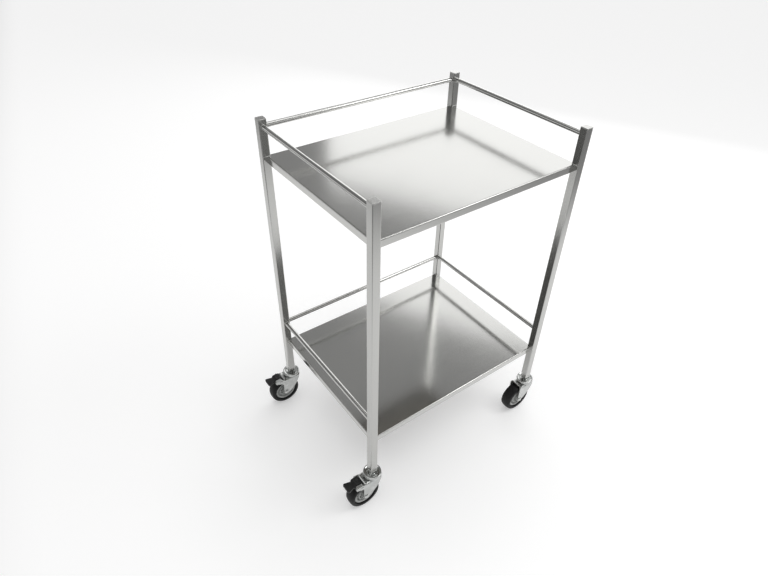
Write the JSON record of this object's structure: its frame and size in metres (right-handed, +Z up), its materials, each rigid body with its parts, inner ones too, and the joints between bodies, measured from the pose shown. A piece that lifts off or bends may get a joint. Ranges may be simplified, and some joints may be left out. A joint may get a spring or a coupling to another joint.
{
  "type": "instrument trolley",
  "caption": "Open stainless trolley with flat skirted shelves, round guard rails and swivel castors with toe brakes.",
  "frame": {"origin": "on the floor, at the centre of the footprint with every castor trailing towards -X", "axes": "+Z up, +X along the shelves' long side, open front with no rail towards -Y"},
  "size_m": [0.7485, 0.537, 1.003],
  "materials": {
    "frame_steel": "satin brushed",
    "castor_zinc": "bright zinc plate",
    "insert_steel": "turned",
    "wheel_grey": "satin",
    "tyre_black": "matt rubber",
    "pedal_black": "fine matt",
    "pad_black": "matt rubber"
  },
  "bodies": {
    "frame": {"castor_balls": "castor_zinc", "castor_lock_nuts": "castor_zinc", "castor_stems": "castor_zinc", "castor_top_cups": "castor_zinc", "front_left_leg": "frame_steel", "front_right_leg": "frame_steel", "leg_inserts": "insert_steel", "leg_top_caps": "frame_steel", "lower_left_rail": "frame_steel", "lower_rear_rail": "frame_steel", "lower_right_rail": "frame_steel", "lower_shelf": "frame_steel", "lower_shelf_stiffeners": "frame_steel", "rear_left_leg": "frame_steel", "rear_right_leg": "frame_steel", "upper_left_rail": "frame_steel", "upper_rear_rail": "frame_steel", "upper_right_rail": "frame_steel", "upper_shelf": "frame_steel", "upper_shelf_stiffeners": "frame_steel"},
    "front_left_swivel": {"front_left_axle_bolt": "castor_zinc", "front_left_axle_nut": "castor_zinc", "front_left_brake_pin": "castor_zinc", "front_left_fork": "castor_zinc", "front_left_lower_race": "castor_zinc"},
    "front_left_wheel": {"front_left_hub_bush": "castor_zinc", "front_left_tyre": "tyre_black", "front_left_wheel_centre": "wheel_grey"},
    "front_right_swivel": {"front_right_axle_bolt": "castor_zinc", "front_right_axle_nut": "castor_zinc", "front_right_fork": "castor_zinc", "front_right_lower_race": "castor_zinc"},
    "front_right_wheel": {"front_right_hub_bush": "castor_zinc", "front_right_tyre": "tyre_black", "front_right_wheel_centre": "wheel_grey"},
    "rear_left_swivel": {"rear_left_axle_bolt": "castor_zinc", "rear_left_axle_nut": "castor_zinc", "rear_left_brake_pin": "castor_zinc", "rear_left_fork": "castor_zinc", "rear_left_lower_race": "castor_zinc"},
    "rear_left_wheel": {"rear_left_hub_bush": "castor_zinc", "rear_left_tyre": "tyre_black", "rear_left_wheel_centre": "wheel_grey"},
    "rear_right_swivel": {"rear_right_axle_bolt": "castor_zinc", "rear_right_axle_nut": "castor_zinc", "rear_right_fork": "castor_zinc", "rear_right_lower_race": "castor_zinc"},
    "rear_right_wheel": {"rear_right_hub_bush": "castor_zinc", "rear_right_tyre": "tyre_black", "rear_right_wheel_centre": "wheel_grey"},
    "front_left_pedal": {"front_left_brake_lever": "castor_zinc", "front_left_brake_pad": "pad_black", "front_left_brake_pedal": "pedal_black", "front_left_brake_spring": "castor_zinc"},
    "rear_left_pedal": {"rear_left_brake_lever": "castor_zinc", "rear_left_brake_pad": "pad_black", "rear_left_brake_pedal": "pedal_black", "rear_left_brake_spring": "castor_zinc"}
  },
  "joints": [
    {"name": "front_left_swivel_turn", "type": "hinge", "parent": "frame", "child": "front_left_swivel", "pos_m": [-0.283, -0.241, 0.108], "axis": [0, 0, 1], "continuous": true},
    {"name": "front_left_wheel_roll", "type": "hinge", "parent": "front_left_swivel", "child": "front_left_wheel", "pos_m": [-0.317, -0.241, 0.05], "axis": [0, 1, 0], "continuous": true},
    {"name": "front_right_swivel_turn", "type": "hinge", "parent": "frame", "child": "front_right_swivel", "pos_m": [0.347, -0.241, 0.108], "axis": [0, 0, 1], "continuous": true},
    {"name": "front_right_wheel_roll", "type": "hinge", "parent": "front_right_swivel", "child": "front_right_wheel", "pos_m": [0.313, -0.241, 0.05], "axis": [0, 1, 0], "continuous": true},
    {"name": "rear_left_swivel_turn", "type": "hinge", "parent": "frame", "child": "rear_left_swivel", "pos_m": [-0.283, 0.241, 0.108], "axis": [0, 0, 1], "continuous": true},
    {"name": "rear_left_wheel_roll", "type": "hinge", "parent": "rear_left_swivel", "child": "rear_left_wheel", "pos_m": [-0.317, 0.241, 0.05], "axis": [0, 1, 0], "continuous": true},
    {"name": "rear_right_swivel_turn", "type": "hinge", "parent": "frame", "child": "rear_right_swivel", "pos_m": [0.347, 0.241, 0.108], "axis": [0, 0, 1], "continuous": true},
    {"name": "rear_right_wheel_roll", "type": "hinge", "parent": "rear_right_swivel", "child": "rear_right_wheel", "pos_m": [0.313, 0.241, 0.05], "axis": [0, 1, 0], "continuous": true},
    {"name": "front_left_brake_press", "type": "hinge", "parent": "front_left_swivel", "child": "front_left_pedal", "pos_m": [-0.333, -0.241, 0.109], "axis": [0, -1, 0], "range_deg": [0, 10]},
    {"name": "rear_left_brake_press", "type": "hinge", "parent": "rear_left_swivel", "child": "rear_left_pedal", "pos_m": [-0.333, 0.241, 0.109], "axis": [0, -1, 0], "range_deg": [0, 10]}
  ]
}
